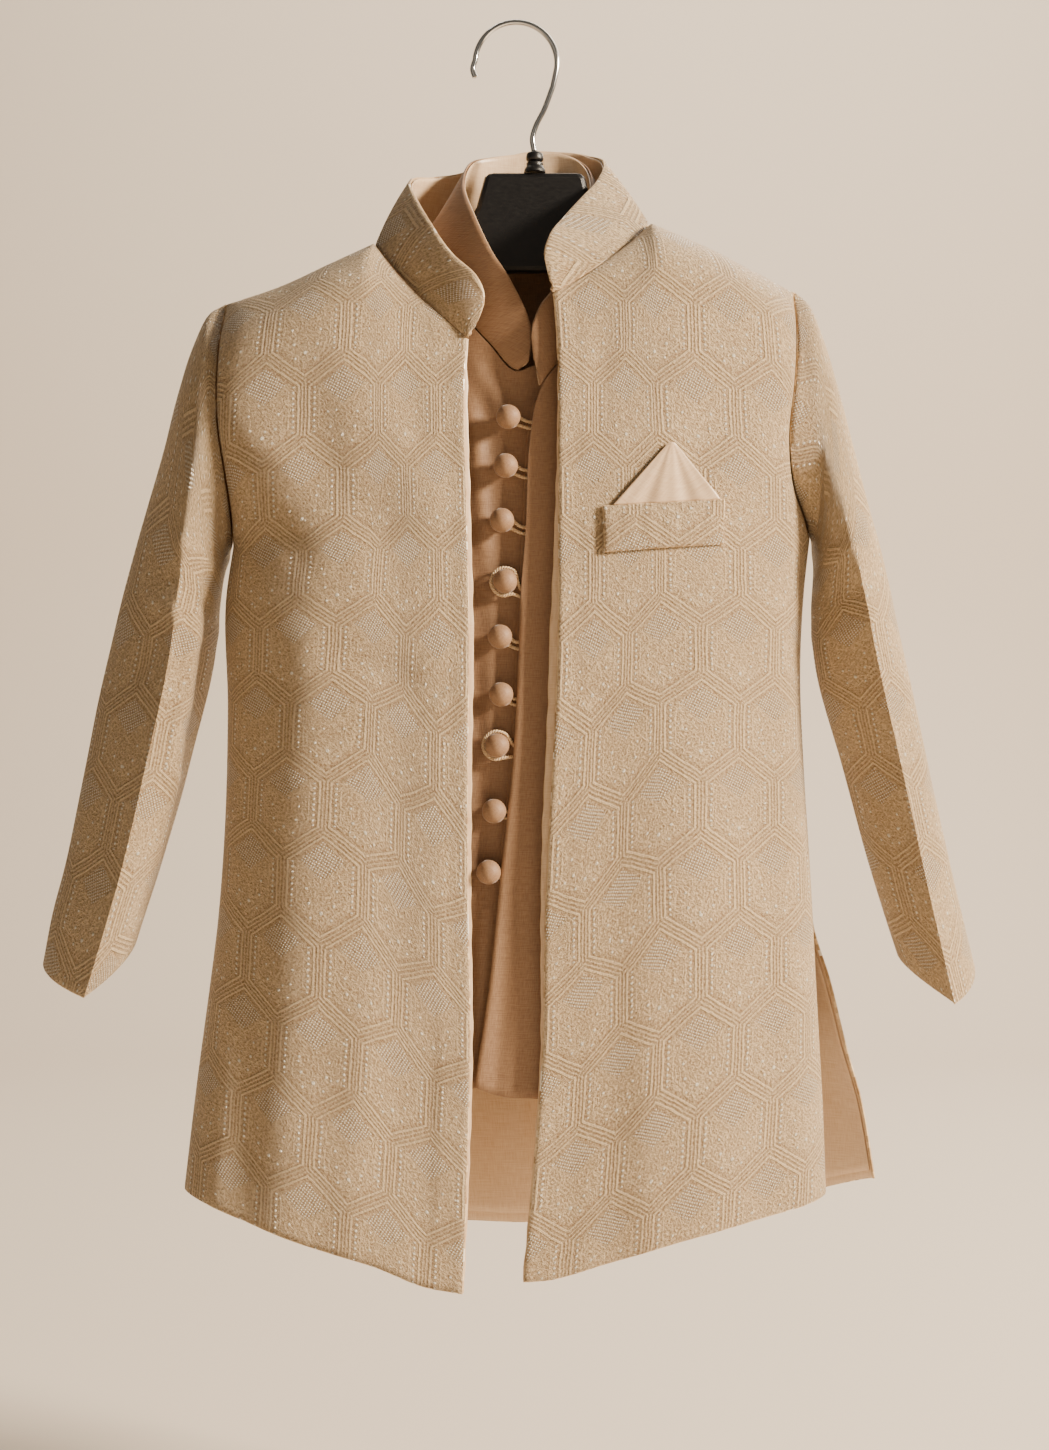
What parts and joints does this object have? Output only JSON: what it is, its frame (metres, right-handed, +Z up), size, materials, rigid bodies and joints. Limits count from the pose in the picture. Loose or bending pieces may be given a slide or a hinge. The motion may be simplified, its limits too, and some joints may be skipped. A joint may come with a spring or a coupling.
{
  "type": "sherwani on a clothes hanger",
  "caption": "Small boy's open-front brocade sherwani jacket with stand collar and side slits over a ball-buttoned inner layer, hung on a plastic clothes hanger with a steel hook.",
  "frame": {"origin": "the inside of the hook's top, where the hanger is held", "axes": "+Z up, the garment's front faces -Y, +X towards the wearer's left (the viewer's right)"},
  "size_m": [0.4726, 0.0947, 0.6347],
  "materials": {
    "brocade": "champagne jacquard brocade with metallic thread",
    "satin": "peach satin lining",
    "silk": "plain tan slub cloth",
    "cord": "round fabric cord",
    "plastic": "black injection-moulded plastic",
    "steel": "chromed steel wire"
  },
  "bodies": {
    "root": {"jacket_front_r": "brocade", "jacket_front_l": "brocade", "jacket_back": "brocade", "jacket_sleeve_r": "brocade", "jacket_sleeve_l": "brocade", "jacket_collar": "brocade", "pocket_welt": "brocade", "facing_r": "satin", "facing_l": "satin", "back_lining": "satin", "jacket_collar_lining": "satin", "inner_collar_lining": "satin", "pocket_square": "satin", "inner_front_r": "silk", "inner_front_l": "silk", "inner_back": "silk", "inner_collar": "silk", "loop_strip": "silk", "button_1": "silk", "button_2": "silk", "button_3": "silk", "button_4": "silk", "button_5": "silk", "button_6": "silk", "button_7": "silk", "button_8": "silk", "button_9": "silk", "loop_1": "cord", "loop_2": "cord", "loop_3": "cord", "loop_4": "cord", "loop_5": "cord", "loop_6": "cord", "loop_7": "cord", "loop_8": "cord", "loop_9": "cord", "hanger_body": "plastic", "hanger_neck": "plastic", "hanger_hook": "steel"}
  },
  "joints": []
}
